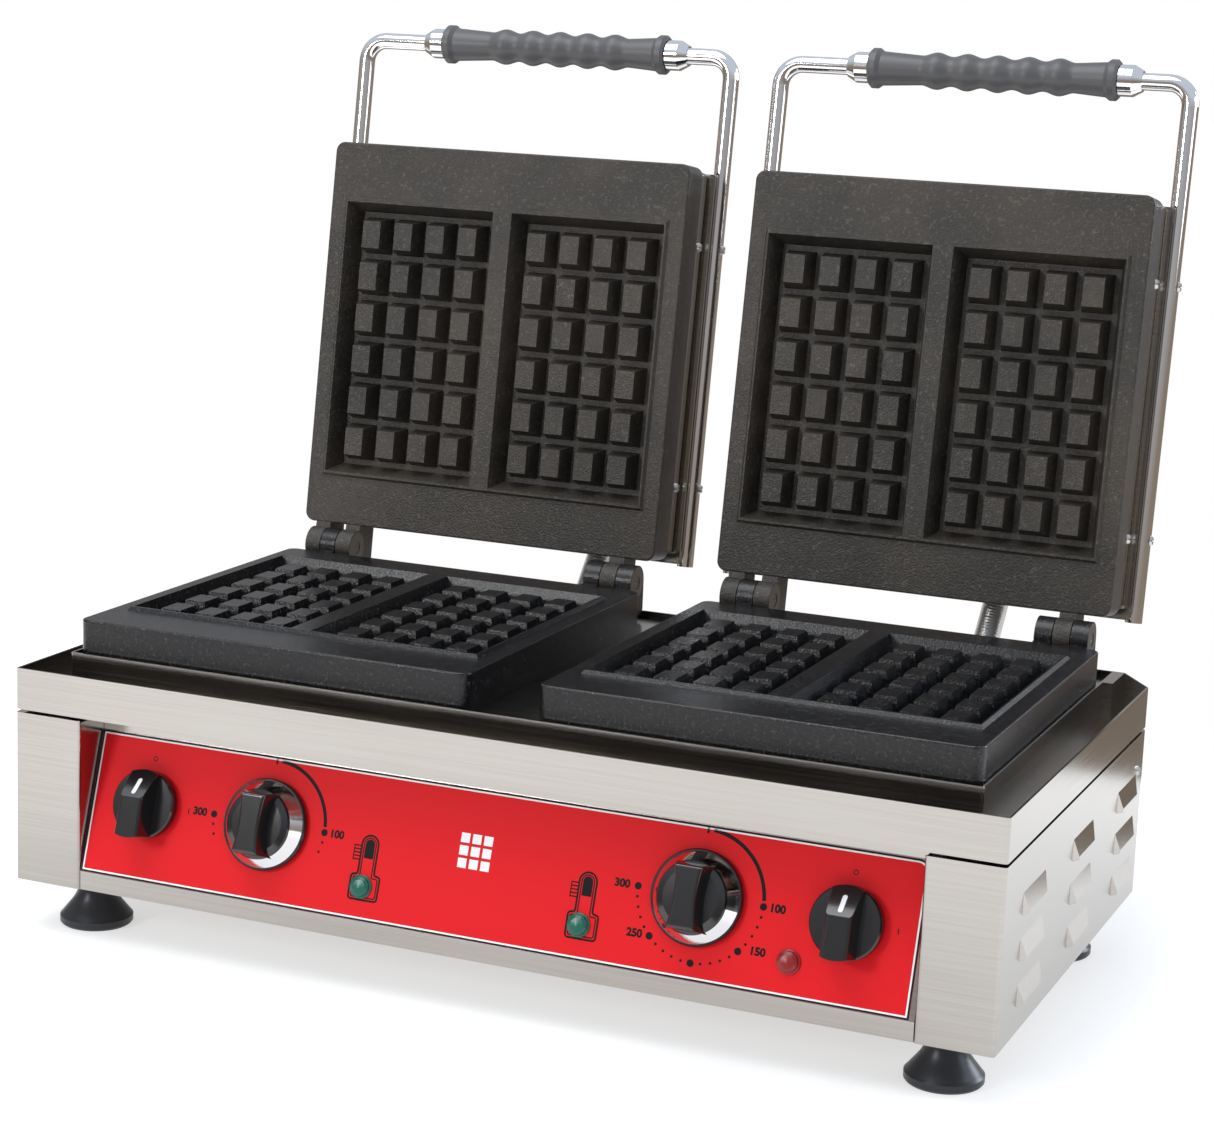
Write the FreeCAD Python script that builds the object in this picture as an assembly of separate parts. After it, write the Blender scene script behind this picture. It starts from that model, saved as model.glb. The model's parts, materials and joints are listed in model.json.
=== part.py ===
"""Double waffle maker: two hinged pairs of cast iron plates on one stainless base.

Frame: millimetres, +Z up, +X to the user's right, the user stands at -Y.
The origin is on the table, under the middle of the bounding box of the object
with both lids open.  Lids are modelled closed and then swung open about their
hinges, so that a closed lid meets its lower plate exactly.
"""
import FreeCAD, Part
import math
import os

V = FreeCAD.Vector
AXIS_X, AXIS_Y, AXIS_Z = V(1, 0, 0), V(0, 1, 0), V(0, 0, 1)
os.makedirs("parts", exist_ok=True)

# ---- driving dimensions -------------------------------------------------------
WIDTH, DEPTH = 566.0, 298.0             # outside of the base, seen from above
FRONT_Y = -187.4                        # front face of the base
REAR_Y = FRONT_Y + DEPTH
SHEET = 1.2                             # stainless sheet of tray and body
FOOT_H = 28.5                           # floor to the underside of the body
BODY_TOP = 125.0
TRAY_TOP = 150.0
TRAY_H = 23.2
MOAT_DEPTH = 17.0                       # tray rim down to the drip channel floor
MOAT_W = 20.3                           # width of the drip channel
PLATEAU_TOP = 156.6                     # raised lip around the plates
PARTING_Z = 177.0                       # where closed plates meet
PLATE = 240.0                           # square casting
PLATE_T = 24.0                          # from the parting plane to the back
PLATE_PITCH = 280.4                     # between the two waffle units
PLATE_FRONT = 28.0                      # from the front of the base
HINGE_BACK = 13.5                       # hinge axis behind the casting's edge
KNUCKLE_R, KNUCKLE_W, KNUCKLE_PITCH = 10.5, 10.0, 10.6
KNUCKLE_IN = 13.5                       # first knuckle's middle from the plate side
PIN_R, PIN_FIT = 4.0, 0.06
LID_OPEN = {"left": 98.0, "right": 99.0}
HANDLE_HALF, HANDLE_R = 125.0, 5.0      # half width between rod axes, rod radius
HANDLE_Z = 43.2                         # rod axis above the parting plane
HANDLE_REACH = 68.5                     # crossbar ahead of the plate's front edge
HANDLE_BEND = 13.0
GRIP_L, GRIP_SHIFT, GRIP_FIT = 151.0, 7.0, 0.08
GRIP_WAVES, WAVE_PITCH, WAVE_FIRST, WAVE_DEPTH = 5, 18.6, -34.5, 1.1
COLUMN_W = 41.4                         # front columns beside the control panel
PANEL_LEAN = math.degrees(math.atan2(24.0, 76.5))
PANEL_FOOT = V(0, FRONT_Y + 1.0, 39.0)  # lower edge of the leaning panel
PANEL_H = 80.2
PANEL_T = 1.2
FILM_T = 0.3
KNOB_T = 42.5                           # height of the knob shafts on the panel
THERMOSTAT_X = (-130.5, 120.5)
SWITCH_X = (-205.5, 201.0)
GREEN_X = (-68.7, 58.1)
RED_X = 173.1
LAMP_T = 18.4
LAMP_R = 5.0
STEM_R, STEM_FIT = 4.0, 0.08
FOOT_X, FOOT_FRONT, FOOT_BACK = 250.0, 31.0, 46.0
FOOT_R = 20.5
GLAND_X, GLAND_Z, GLAND_BORE = 210.0, 60.0, 4.5
CONDUIT_R = 7.5
CONDUIT_X = {"left": -69.0, "right": 185.0}

PLATE_Y = FRONT_Y + PLATE_FRONT + PLATE / 2
HINGE_Y = PLATE_Y + PLATE / 2 + HINGE_BACK
UNIT_X = {"left": -PLATE_PITCH / 2, "right": PLATE_PITCH / 2}
TRAY_BOTTOM = TRAY_TOP - TRAY_H
DECK_TOP = PARTING_Z - PLATE_T
MOAT_FLOOR = TRAY_TOP - MOAT_DEPTH
LIP_Y = FRONT_Y + 23.8


# ---- small helpers ------------------------------------------------------------
def block(x0, x1, y0, y1, z0, z1):
    """Box between two corners."""
    return Part.makeBox(x1 - x0, y1 - y0, z1 - z0, V(x0, y0, z0))


def rod(radius, length, start, axis=AXIS_Z):
    """Cylinder from a start point along an axis."""
    return Part.makeCylinder(radius, length, start, axis)


def prism_x(outline, x0, x1):
    """Extrude a closed (y, z) outline from x0 to x1."""
    points = [V(x0, y, z) for y, z in outline]
    face = Part.Face(Part.makePolygon(points + [points[0]]))
    return face.extrude(V(x1 - x0, 0, 0))


def lathe(outline):
    """Turn a closed (radius, z) outline about the Z axis."""
    points = [V(r, 0, z) for r, z in outline]
    face = Part.Face(Part.makePolygon(points + [points[0]]))
    return face.revolve(V(0, 0, 0), AXIS_Z, 360)


def tapered(x0, x1, y0, y1, z0, z1, inset):
    """Block whose outline shrinks by the inset on every side from z0 to z1."""
    loops = []
    for z, d in ((z0, 0.0), (z1, inset)):
        corners = [V(x0 + d, y0 + d, z), V(x1 - d, y0 + d, z), V(x1 - d, y1 - d, z), V(x0 + d, y1 - d, z)]
        loops.append(Part.makePolygon(corners + [corners[0]]))
    return Part.makeLoft(loops, True, True)


def turned(shape, angle, centre, axis):
    """Copy of a shape turned about an axis."""
    copy = shape.copy()
    copy.rotate(centre, axis, angle)
    return copy


def moved(shape, x=0.0, y=0.0, z=0.0):
    """Copy of a shape moved."""
    copy = shape.copy()
    copy.translate(V(x, y, z))
    return copy


def edges_along(shape, axis, where=lambda mid: True):
    """Straight edges parallel to an axis whose middle passes a test."""
    found = []
    for edge in shape.Edges:
        if edge.Curve.TypeId != "Part::GeomLine":
            continue
        run = edge.Vertexes[-1].Point - edge.Vertexes[0].Point
        if run.Length > 1e-6 and abs(abs(run.normalize().dot(axis)) - 1) < 1e-6 and where(edge.CenterOfMass):
            found.append(edge)
    return found


def mirrored(shape):
    """Mirror image across the object's middle."""
    return shape.mirror(V(0, 0, 0), AXIS_X)


def on_panel(shape):
    """Place a shape drawn with Z away from the panel and Y up along it."""
    copy = shape.copy()
    copy.rotate(V(0, 0, 0), AXIS_X, 90 - PANEL_LEAN)
    copy.translate(PANEL_FOOT)
    return copy


def save(name, *shapes):
    """Write one node."""
    solids = [solid for shape in shapes for solid in shape.Solids]
    whole = solids[0] if len(solids) == 1 else Part.makeCompound(solids)
    bad = [solid for solid in solids if not solid.isValid() or solid.Volume < 1]
    print(name, len(solids), "solids", round(whole.Volume), "mm3", "BAD" if bad or not solids else "")
    whole.exportStep("parts/" + name + ".step")


# ---- waffle plates ------------------------------------------------------------
FACE_DROP = 2.0                         # raised border above the casting's face
POCKET_DEPTH = 13.0                     # below the face
BORDER_X, BORDER_Y = 110.0, 88.0        # half size of the raised border's foot
BORDER_SHIFT = 2.0                      # border sits this far towards the hinge
POCKET_IN, POCKET_OUT, POCKET_Y = 6.25, 107.5, 85.0
PEG_X, PEG_Y, PEG_PITCH_X, PEG_PITCH_Y = 12.2, 16.8, 22.2, 26.1
PEG_DRAFT, WALL_DRAFT = 2.9, 5.0
PEG_COLUMNS, PEG_ROWS = 4, 6


def pocket(side):
    """Room for one half of the waffle, pegs left standing; side is -1 or +1."""
    x0, x1 = sorted((side * POCKET_IN, side * POCKET_OUT))
    y0, y1 = BORDER_SHIFT - POCKET_Y, BORDER_SHIFT + POCKET_Y
    floor = -FACE_DROP - POCKET_DEPTH
    over = 1.0
    spread = WALL_DRAFT * over / (FACE_DROP + POCKET_DEPTH)
    room = tapered(x0 - spread, x1 + spread, y0 - spread, y1 + spread, over, floor, WALL_DRAFT + spread)
    pegs = []
    for column in range(PEG_COLUMNS):
        x = (x0 + x1) / 2 + (column - (PEG_COLUMNS - 1) / 2) * PEG_PITCH_X
        for row in range(PEG_ROWS):
            y = BORDER_SHIFT + (row - (PEG_ROWS - 1) / 2) * PEG_PITCH_Y
            a, b = PEG_X / 2 + PEG_DRAFT, PEG_Y / 2 + PEG_DRAFT
            pegs.append(tapered(x - a, x + a, y - b, y + b, floor, -FACE_DROP, PEG_DRAFT))
    return room.cut(Part.makeCompound(pegs))


def knuckle_x(slot):
    """Middle of knuckle 0 (outer), 1 or 2 (inner) as a distance from the plate's middle."""
    return PLATE / 2 - KNUCKLE_IN - slot * KNUCKLE_PITCH


def lug(x):
    """Hinge lug hanging down from the knuckle, with its root in the casting."""
    axis_y = PLATE / 2 + HINGE_BACK
    root, back, low = PLATE / 2 - 4, axis_y + KNUCKLE_R, -PLATE_T + 3
    x0, x1 = x - KNUCKLE_W / 2, x + KNUCKLE_W / 2
    outline = [(root, low), (back - 3, low), (back, low + 3), (back, 0), (axis_y, 0), (root, -3)]
    web = prism_x(outline, x0, x1)
    return web.fuse(rod(KNUCKLE_R, KNUCKLE_W, V(x0, axis_y, 0), AXIS_X))


def casting(bore_r):
    """One plate, face up, parting plane at z = 0, centred; plates of a pair differ only in their bores."""
    half = PLATE / 2
    body = block(-half, half, -half, half, -PLATE_T, -FACE_DROP)
    body = body.makeFillet(6.0, edges_along(body, AXIS_Z))
    rim = [e for e in body.Edges if e.BoundBox.ZMin > -FACE_DROP - 1e-6]
    body = body.makeFillet(1.2, rim)
    front, back = BORDER_SHIFT - BORDER_Y, BORDER_SHIFT + BORDER_Y
    body = body.fuse(tapered(-BORDER_X, BORDER_X, front, back, -FACE_DROP, 0, 1.5))
    for side in (-1, 1):
        body = body.cut(pocket(side))
    lugs = [lug(-knuckle_x(1)), lug(knuckle_x(0)), lug(knuckle_x(2))]
    body = body.fuse(lugs)
    bore = rod(bore_r, PLATE, V(-half, half + HINGE_BACK, 0), AXIS_X)
    return body.cut(bore).removeSplitter()


def unit_place(shape, side, z=PARTING_Z):
    """Move a shape drawn about a plate's middle to one of the two units."""
    return moved(shape, UNIT_X[side], PLATE_Y, z)


def open_lid(shape, side):
    """Swing a closed lid piece open about its hinge."""
    return turned(shape, -LID_OPEN[side], V(0, HINGE_Y, PARTING_Z), AXIS_X)


def lid_place(shape, side):
    """Place a lid piece, drawn closed about the plate's middle, with its lid open."""
    return open_lid(unit_place(shape, side), side)


LOWER_CASTING = casting(PIN_R)
UPPER_CASTING = turned(casting(PIN_R + PIN_FIT), 180, V(0, 0, 0), AXIS_Y)
for unit in UNIT_X:
    save("lower_plate_" + unit, unit_place(LOWER_CASTING, unit))
    save("upper_plate_" + unit, lid_place(UPPER_CASTING, unit))

PIN_SPAN = 2 * KNUCKLE_PITCH + KNUCKLE_W - 0.6
pins = []
for unit in UNIT_X:
    for side in (-1, 1):
        middle = UNIT_X[unit] + side * knuckle_x(1)
        pin = rod(PIN_R, PIN_SPAN, V(middle - PIN_SPAN / 2, HINGE_Y, PARTING_Z), AXIS_X)
        for end, axis in ((middle - PIN_SPAN / 2, AXIS_X), (middle + PIN_SPAN / 2, -AXIS_X)):
            pin = pin.cut(Part.makeCone(1.2, 0.0, 1.2, V(end, HINGE_Y, PARTING_Z), axis))
        pins.append(pin)
save("hinge_pins", *pins)


# ---- heating elements ----------------------------------------------------------
HEATER_R, HEATER_X, HEATER_Y, HEATER_END = 4.0, 84.0, 78.0, 98.0
HEATER_RUNS = 4


def heater():
    """Tubular element in four runs, lying under a plate's back at z = 0."""
    spacing = 2 * HEATER_X / (HEATER_RUNS - 1)
    z = -HEATER_R - 0.1
    edges = []
    for i in range(HEATER_RUNS):
        x, turn = -HEATER_X + i * spacing, -1 if i % 2 == 0 else 1
        start = HEATER_END if i == 0 else -turn * HEATER_Y
        end = HEATER_END if i == HEATER_RUNS - 1 else turn * HEATER_Y
        edges.append(Part.LineSegment(V(x, start, z), V(x, end, z)).toShape())
        if i < HEATER_RUNS - 1:
            bend = V(x + spacing / 2, end + turn * spacing / 2, z)
            edges.append(Part.Arc(V(x, end, z), bend, V(x + spacing, end, z)).toShape())
    profile = Part.Wire(Part.makeCircle(HEATER_R, V(-HEATER_X, HEATER_END, z), AXIS_Y))
    return Part.Wire(edges).makePipeShell([profile], True, False)


HEATER = heater()
for unit in UNIT_X:
    save("lower_heater_" + unit, unit_place(HEATER, unit, DECK_TOP))
    flipped = moved(turned(HEATER, 180, V(0, 0, 0), AXIS_Y), 0, 0, PLATE_T)
    save("upper_heater_" + unit, lid_place(flipped, unit))

CLAMP_T = 1.5
clamps = []
for unit in UNIT_X:
    top = DECK_TOP - 2 * HEATER_R - 0.2
    clamps.append(unit_place(block(-104, 104, -104, 104, top - CLAMP_T, top), unit, 0))
save("lower_clamp_plates", *clamps)


# ---- lids ----------------------------------------------------------------------
SKIRT_HALF, SKIRT_LOW, SKIRT_TOP = 119.7, PLATE_T + 0.1, PLATE_T + 10.0
SEAL_TOP = SKIRT_TOP + 2.0
CARRIER_TOP = SEAL_TOP + 2.0
CARRIER_X, COVER_HALF, COVER_TOP = 123.5, 118.5, CARRIER_TOP + 12.0
SKIRT_FRONT, SKIRT_BACK = -PLATE / 2 + 2.8, PLATE / 2 - 3.5
CARRIER_FRONT, CARRIER_BACK = -PLATE / 2 + 3.0, PLATE / 2 + 2.0
PAN_T = 1.0
SCREW_Y = (-PLATE / 2 + 48, PLATE / 2 - 45)
SCREW_R, SCREW_HEAD_R = 1.5, 3.0
SKIRT_SCREW_Z = SKIRT_LOW + 5.0
FITTING_Z = SKIRT_TOP + 2.0
COLLAR_R, COLLAR_L = 10.5, 10.5
COLLAR_START = SKIRT_BACK - 8.0


def fitting_x(side):
    """Conduit position measured from the unit's middle."""
    return CONDUIT_X[side] - UNIT_X[side]


def fitting_hole(side):
    """Room for the conduit's collar in the hinge side of a lid."""
    return rod(COLLAR_R + 0.1, 30, V(fitting_x(side), COLLAR_START - 0.1, FITTING_Z), AXIS_Y)


def pan(half, front, back, rim, crown, radius):
    """Folded sheet pan: four walls from the rim up to a flat crown, with rounded bends."""
    skins = []
    for inset in (0.0, PAN_T):
        low = rim - inset
        body = block(-half + inset, half - inset, front + inset, back - inset, low, crown - inset)
        bends = edges_along(body, AXIS_Z) + [e for e in body.Edges if e.BoundBox.ZMin > crown - inset - 0.01]
        skins.append(body.makeFillet(radius - inset, bends))
    return skins[0].cut(skins[1])


def lid_skirt(side):
    """Stainless pan behind the upper plate, open towards the plate."""
    shape = pan(SKIRT_HALF, SKIRT_FRONT, SKIRT_BACK, SKIRT_LOW, SKIRT_TOP, 2.5)
    holes = [rod(SCREW_R, 2 * PLATE, V(-PLATE, y, SKIRT_SCREW_Z), AXIS_X) for y in SCREW_Y]
    return shape.cut(Part.makeCompound(holes + [fitting_hole(side)]))


def lid_seal(side):
    """Dark heat insulation board between the pan and the carrier plate."""
    board = block(-116, 116, SKIRT_FRONT + 4, SKIRT_BACK - 4, SKIRT_TOP, SEAL_TOP)
    return board.cut(fitting_hole(side))


def lid_carrier(side):
    """Flat plate that the handle rods lie on; it stands out past the casting at both sides."""
    plate = block(-CARRIER_X, CARRIER_X, CARRIER_FRONT, CARRIER_BACK, SEAL_TOP, CARRIER_TOP)
    return plate.makeFillet(1.5, edges_along(plate, AXIS_Z)).cut(fitting_hole(side))


def lid_cover(side):
    """Shallow outer cover between the two handle rods."""
    shape = pan(COVER_HALF, CARRIER_FRONT + 5, CARRIER_BACK - 5, CARRIER_TOP, COVER_TOP, 4.0)
    holes = [rod(SCREW_R, 2 * PLATE, V(-PLATE, y, HANDLE_Z), AXIS_X) for y in SCREW_Y]
    return shape.cut(Part.makeCompound(holes + [fitting_hole(side)]))


def handle_frame():
    """U of round bar: two legs along the lid's sides and a crossbar ahead of it."""
    front, back = -PLATE / 2 - HANDLE_REACH, PLATE / 2 + 3.5
    x, r, z = HANDLE_HALF, HANDLE_BEND, HANDLE_Z
    k = r * (1 - math.sqrt(0.5))
    edges = [
        Part.LineSegment(V(-x, back, z), V(-x, front + r, z)).toShape(),
        Part.Arc(V(-x, front + r, z), V(-x + k, front + k, z), V(-x + r, front, z)).toShape(),
        Part.LineSegment(V(-x + r, front, z), V(x - r, front, z)).toShape(),
        Part.Arc(V(x - r, front, z), V(x - k, front + k, z), V(x, front + r, z)).toShape(),
        Part.LineSegment(V(x, front + r, z), V(x, back, z)).toShape(),
    ]
    profile = Part.Wire(Part.makeCircle(HANDLE_R, V(-x, back, z), AXIS_Y))
    bar = Part.Wire(edges).makePipeShell([profile], True, False)
    for y in SCREW_Y:
        bar = bar.cut(rod(SCREW_R, 2 * PLATE, V(-PLATE, y, z), AXIS_X))
        for seat in (-ROD_SEAT - 5, ROD_SEAT):
            bar = bar.cut(rod(SCREW_HEAD_R + 0.2, 5, V(seat, y, z), AXIS_X))
    return bar


ROD_SEAT = HANDLE_HALF + HANDLE_R - 0.3


def side_screw(x, y, z, length):
    """Pan head screw with its head's seat at x, pointing towards the middle."""
    out = V(math.copysign(1, x), 0, 0)
    shank = rod(SCREW_R - 0.05, length + 0.5, V(x, y, z) - out * length, out)
    head = Part.makeCone(SCREW_HEAD_R, 2.2, 1.4, V(x, y, z), out)
    slot = block(-2, 2, -0.4, 0.4, -4, 4)
    return shank.fuse(head).cut(moved(slot, x + out.x * 2.6, y, z))


def lid_screws(side):
    """Screws of the pan and of the handle rods, and the conduit's collar on the hinge side."""
    pieces = []
    for way in (-1, 1):
        for y in SCREW_Y:
            pieces.append(side_screw(way * SKIRT_HALF, y, SKIRT_SCREW_Z, 4))
            pieces.append(side_screw(way * ROD_SEAT, y, HANDLE_Z, 14))
    start = V(fitting_x(side), COLLAR_START, FITTING_Z)
    collar = rod(COLLAR_R, COLLAR_L, start, AXIS_Y)
    pieces.append(collar.cut(rod(CONDUIT_R - 2, COLLAR_L, start, AXIS_Y)))
    return pieces


# ---- handle grips --------------------------------------------------------------
GRIP_R, GRIP_END_R, WAVE_STEPS = 9.9, 12.0, 6
FERRULE_L = 13.5


def grip():
    """Finger-wave grip about the X axis, middle at the origin."""
    half, bore = GRIP_L / 2, HANDLE_R + GRIP_FIT
    start = WAVE_FIRST - WAVE_PITCH / 2
    waves = []
    for step in range(GRIP_WAVES * WAVE_STEPS + 1):
        turn = step / WAVE_STEPS
        waves.append(V(start + WAVE_PITCH * turn, GRIP_R - WAVE_DEPTH * math.cos(2 * math.pi * turn), 0))
    curve = Part.BSplineCurve()
    curve.interpolate(waves)
    collar = [(0, bore), (0, 10.5), (1.5, GRIP_END_R), (5.0, GRIP_END_R), (7.5, 10.2)]
    left = [V(x - half, r, 0) for x, r in collar] + [waves[0]]
    right = [waves[-1]] + [V(half - x, r, 0) for x, r in reversed(collar)]
    edges = Part.makePolygon(left).Edges + [curve.toShape()] + Part.makePolygon(right + [left[0]]).Edges
    face = Part.Face(Part.Wire(Part.__sortEdges__(edges)))
    return face.revolve(V(0, 0, 0), AXIS_X, 360)


def ferrules():
    """Two chromed end stops with set screws, tapering onto the rod."""
    pair = []
    for side in (-1, 1):
        start = GRIP_L / 2 + 0.4
        profile = [(0, 9.2), (8.0, 9.2), (FERRULE_L, 6.2), (FERRULE_L, HANDLE_R), (0, HANDLE_R)]
        points = [V(side * (start + x), r, 0) for x, r in profile]
        ring = Part.Face(Part.makePolygon(points + [points[0]])).revolve(V(0, 0, 0), AXIS_X, 360)
        screw_seat = rod(1.6, 3.0, V(side * (start + 5), 0, 7.4), AXIS_Z)
        pair.append(ring.cut(screw_seat))
    return pair


def handle_place(shape, side):
    """Place a piece drawn about the crossbar's middle on one open lid."""
    return lid_place(moved(shape, GRIP_SHIFT, -PLATE / 2 - HANDLE_REACH, HANDLE_Z), side)


GRIP, FERRULES = grip(), ferrules()
for unit in UNIT_X:
    save("lid_skirt_" + unit, lid_place(lid_skirt(unit), unit))
    save("lid_seal_" + unit, lid_place(lid_seal(unit), unit))
    save("lid_carrier_" + unit, lid_place(lid_carrier(unit), unit))
    save("lid_cover_" + unit, lid_place(lid_cover(unit), unit))
    save("handle_frame_" + unit, lid_place(handle_frame(), unit))
    save("lid_screws_" + unit, *[lid_place(piece, unit) for piece in lid_screws(unit)])
    save("grip_" + unit, handle_place(GRIP, unit))
    save("ferrules_" + unit, *[handle_place(ring, unit) for ring in FERRULES])


# ---- top tray ------------------------------------------------------------------
HALF_W = WIDTH / 2
LIP_X = HALF_W - MOAT_W
RAIL_X, RAIL_Y = 268.5, FRONT_Y + 268.0
OPENING_HALF = 112.0


def top_tray():
    """Drip tray: outer wall, channel on three sides, raised lip and a deck with two openings."""
    t = SHEET
    inside = block(-HALF_W + t, HALF_W - t, FRONT_Y + t, REAR_Y - t, 0, TRAY_TOP + 1)
    outer = block(-HALF_W, HALF_W, FRONT_Y, REAR_Y, TRAY_BOTTOM, TRAY_TOP)
    outer = outer.makeFillet(2.0, edges_along(outer, AXIS_Z))
    wall = outer.cut(inside)
    x, y0, y1 = HALF_W - t / 2, FRONT_Y + t / 2, REAR_Y - t / 2
    floor = block(-x, x, y0, y1, MOAT_FLOOR - t, MOAT_FLOOR)
    core = block(-LIP_X, LIP_X, LIP_Y, REAR_Y - t, MOAT_FLOOR - t, PLATEAU_TOP)
    core = core.makeFillet(1.5, edges_along(core, AXIS_Z, lambda mid: mid.y < LIP_Y + 1))
    hollow = block(-LIP_X + t, LIP_X - t, LIP_Y + t, REAR_Y - t, 0, PLATEAU_TOP + 1)
    lip = core.cut(hollow)
    deck = block(-LIP_X + t / 2, LIP_X - t / 2, LIP_Y + t / 2, REAR_Y - t / 2, DECK_TOP - t, DECK_TOP)
    slope = [(-RAIL_X, PLATEAU_TOP), (RAIL_X, PLATEAU_TOP), (HALF_W - 1, TRAY_TOP)]
    slope += [(HALF_W - 1, TRAY_TOP - 2), (1 - HALF_W, TRAY_TOP - 2), (1 - HALF_W, TRAY_TOP)]
    points = [V(x, REAR_Y - t, z) for x, z in slope]
    upstand = Part.Face(Part.makePolygon(points + [points[0]])).extrude(V(0, t, 0))
    tray = wall.fuse([floor, upstand]).cut(hollow)
    tray = tray.fuse([upstand, lip, deck])
    for way in (-1, 1):
        x0, x1 = sorted((way * (LIP_X - t / 2), way * RAIL_X))
        box = block(x0, x1, RAIL_Y, REAR_Y - t / 2, MOAT_FLOOR - t / 2, PLATEAU_TOP)
        x0, x1 = sorted((way * (LIP_X - t), way * (RAIL_X - t)))
        tray = tray.fuse(box).cut(block(x0, x1, RAIL_Y + t, REAR_Y - t, MOAT_FLOOR, PLATEAU_TOP - t))
    for unit in UNIT_X:
        hole = block(-OPENING_HALF, OPENING_HALF, -OPENING_HALF, OPENING_HALF, -2 * t, 2 * t)
        tray = tray.cut(unit_place(hole, unit, DECK_TOP))
        run = conduit_run(unit)
        tray = tray.cut(rod(CONDUIT_R + 0.7, 70, conduit_foot(unit) - run * 25, run))
    return tray.removeSplitter()


# ---- conduits between the deck and the lids ---------------------------------------
CONDUIT_WALL, CONDUIT_GAP, CONDUIT_TAIL, NUT_R, NUT_L = 2.0, 0.5, 24.0, 11.0, 6.0


def conduit_foot(side):
    """Where a conduit's axis meets the deck."""
    return V(CONDUIT_X[side], FRONT_Y + 290.0, DECK_TOP)


def conduit_run(side):
    """Direction from the deck to the mouth of the open lid's collar."""
    mouth = Part.Vertex(V(fitting_x(side), COLLAR_START + COLLAR_L, FITTING_Z))
    return (lid_place(mouth, side).Point - conduit_foot(side)).normalize()


def conduit(side):
    """Straight tube that stops just short of the collar on the open lid."""
    run, foot = conduit_run(side), conduit_foot(side)
    start = foot - run * CONDUIT_TAIL
    tube = rod(CONDUIT_R, 100, start, run).cut(rod(CONDUIT_R - CONDUIT_WALL, 100, start, run))
    x, end = fitting_x(side), COLLAR_START + COLLAR_L + CONDUIT_GAP
    return tube.cut(lid_place(block(x - 20, x + 20, end - 70, end, FITTING_Z - 60, FITTING_Z + 60), side))


nuts = []
for unit in UNIT_X:
    run = conduit_run(unit)
    start = conduit_foot(unit) - run * (CONDUIT_TAIL - 2)
    nuts.append(rod(NUT_R, NUT_L, start, run).cut(rod(CONDUIT_R, NUT_L, start, run)))
    save("conduit_" + unit, conduit(unit))
save("conduit_nuts", *nuts)
save("top_tray", top_tray())


# ---- body ----------------------------------------------------------------------
COLUMN_X = HALF_W - COLUMN_W
WEB_DEPTH, RETURN_W, TOP_FLANGE = 30.0, 20.0, 11.0
LOUVRE_Y = [FRONT_Y + 57.5 + i * 100.5 for i in range(3)]
LOUVRE_Z = [42.5 + i * 24.0 for i in range(3)]
LOUVRE_L, LOUVRE_H, LOUVRE_OUT = 44.0, 14.0, 2.6
SIDE_SCREW = (FRONT_Y + 284.0, 104.0)


def louvre(y, z, inset):
    """Pressed hood on the +X side: its lower edge stands out; inset gives the inner skin."""
    x = HALF_W - inset
    y0, y1, top = y - LOUVRE_L / 2 + inset, y + LOUVRE_L / 2 - inset, z + LOUVRE_H - inset
    low, out = z - inset, LOUVRE_OUT
    foot = [V(x - 0.5, y0, low), V(x - 0.5, y1, low), V(x - 0.5, y1, top), V(x - 0.5, y0, top)]
    x0, y2, y3, lip = x + out, y0 + 5, y1 - 5, low + 2
    crest = [V(x0, y2, low), V(x0, y3, low), V(x0, y3, lip), V(x0, y2, lip)]
    loops = [Part.makePolygon(ring + [ring[0]]) for ring in (foot, crest)]
    return Part.makeLoft(loops, True, True)


def side_panel():
    """Right side: louvred wall, wrap-round front column with its inner web, rear return."""
    t = SHEET
    body = block(COLUMN_X, HALF_W, FRONT_Y, REAR_Y, FOOT_H, BODY_TOP)
    outer_bends = edges_along(body, AXIS_Z, lambda mid: mid.x > HALF_W - 1 or mid.y < FRONT_Y + 1)
    body = body.makeFillet(2.0, outer_bends)
    inside = block(COLUMN_X + t, HALF_W - t, FRONT_Y + t, REAR_Y - t, 0, BODY_TOP - t)
    inside = inside.makeFillet(0.8, edges_along(inside, AXIS_Z))
    body = body.cut(inside)
    body = body.cut(block(0, COLUMN_X + t + 0.1, FRONT_Y + WEB_DEPTH, REAR_Y + 1, 0, BODY_TOP + 1))
    body = body.cut(block(0, HALF_W - RETURN_W, FRONT_Y + WEB_DEPTH, REAR_Y + 1, 0, BODY_TOP - t))
    body = body.cut(block(0, COLUMN_X + t + 0.1, FRONT_Y + 3, REAR_Y + 1, 0, FOOT_H + t + 0.1))
    body = body.cut(block(0, HALF_W - TOP_FLANGE, FRONT_Y + t, REAR_Y + 1, BODY_TOP - t, BODY_TOP + 1))
    hoods = [louvre(y, z, 0.0) for y in LOUVRE_Y for z in LOUVRE_Z]
    throats = [louvre(y, z, 0.8) for y in LOUVRE_Y for z in LOUVRE_Z]
    slots = []
    for y in LOUVRE_Y:
        for z in LOUVRE_Z:
            half = LOUVRE_L / 2 - 6
            slots.append(block(HALF_W - 3, HALF_W + 0.1, y - half, y + half, z + 0.5, z + 8.5))
    body = body.fuse(hoods).cut(Part.makeCompound(throats)).cut(Part.makeCompound(slots))
    return body.cut(rod(SCREW_R, 6, V(HALF_W - 5, *SIDE_SCREW), AXIS_X))


PANEL_X = COLUMN_X - 0.2
PANEL_TOP_Y = PANEL_FOOT.y + PANEL_H * math.sin(math.radians(PANEL_LEAN))
PANEL_TOP_Z = PANEL_FOOT.z + PANEL_H * math.cos(math.radians(PANEL_LEAN))


def panel_holes(extra):
    """Holes for the four shafts and three lamps, wider by extra."""
    holes = []
    for x in THERMOSTAT_X + SWITCH_X:
        holes.append(rod(STEM_R + 1.0 + extra, 10, V(x, KNOB_T, -5)))
    for x in GREEN_X + (RED_X,):
        holes.append(rod(LAMP_R + 0.1 + extra, 10, V(x, LAMP_T, -5)))
    return on_panel(Part.makeCompound(holes))


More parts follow.
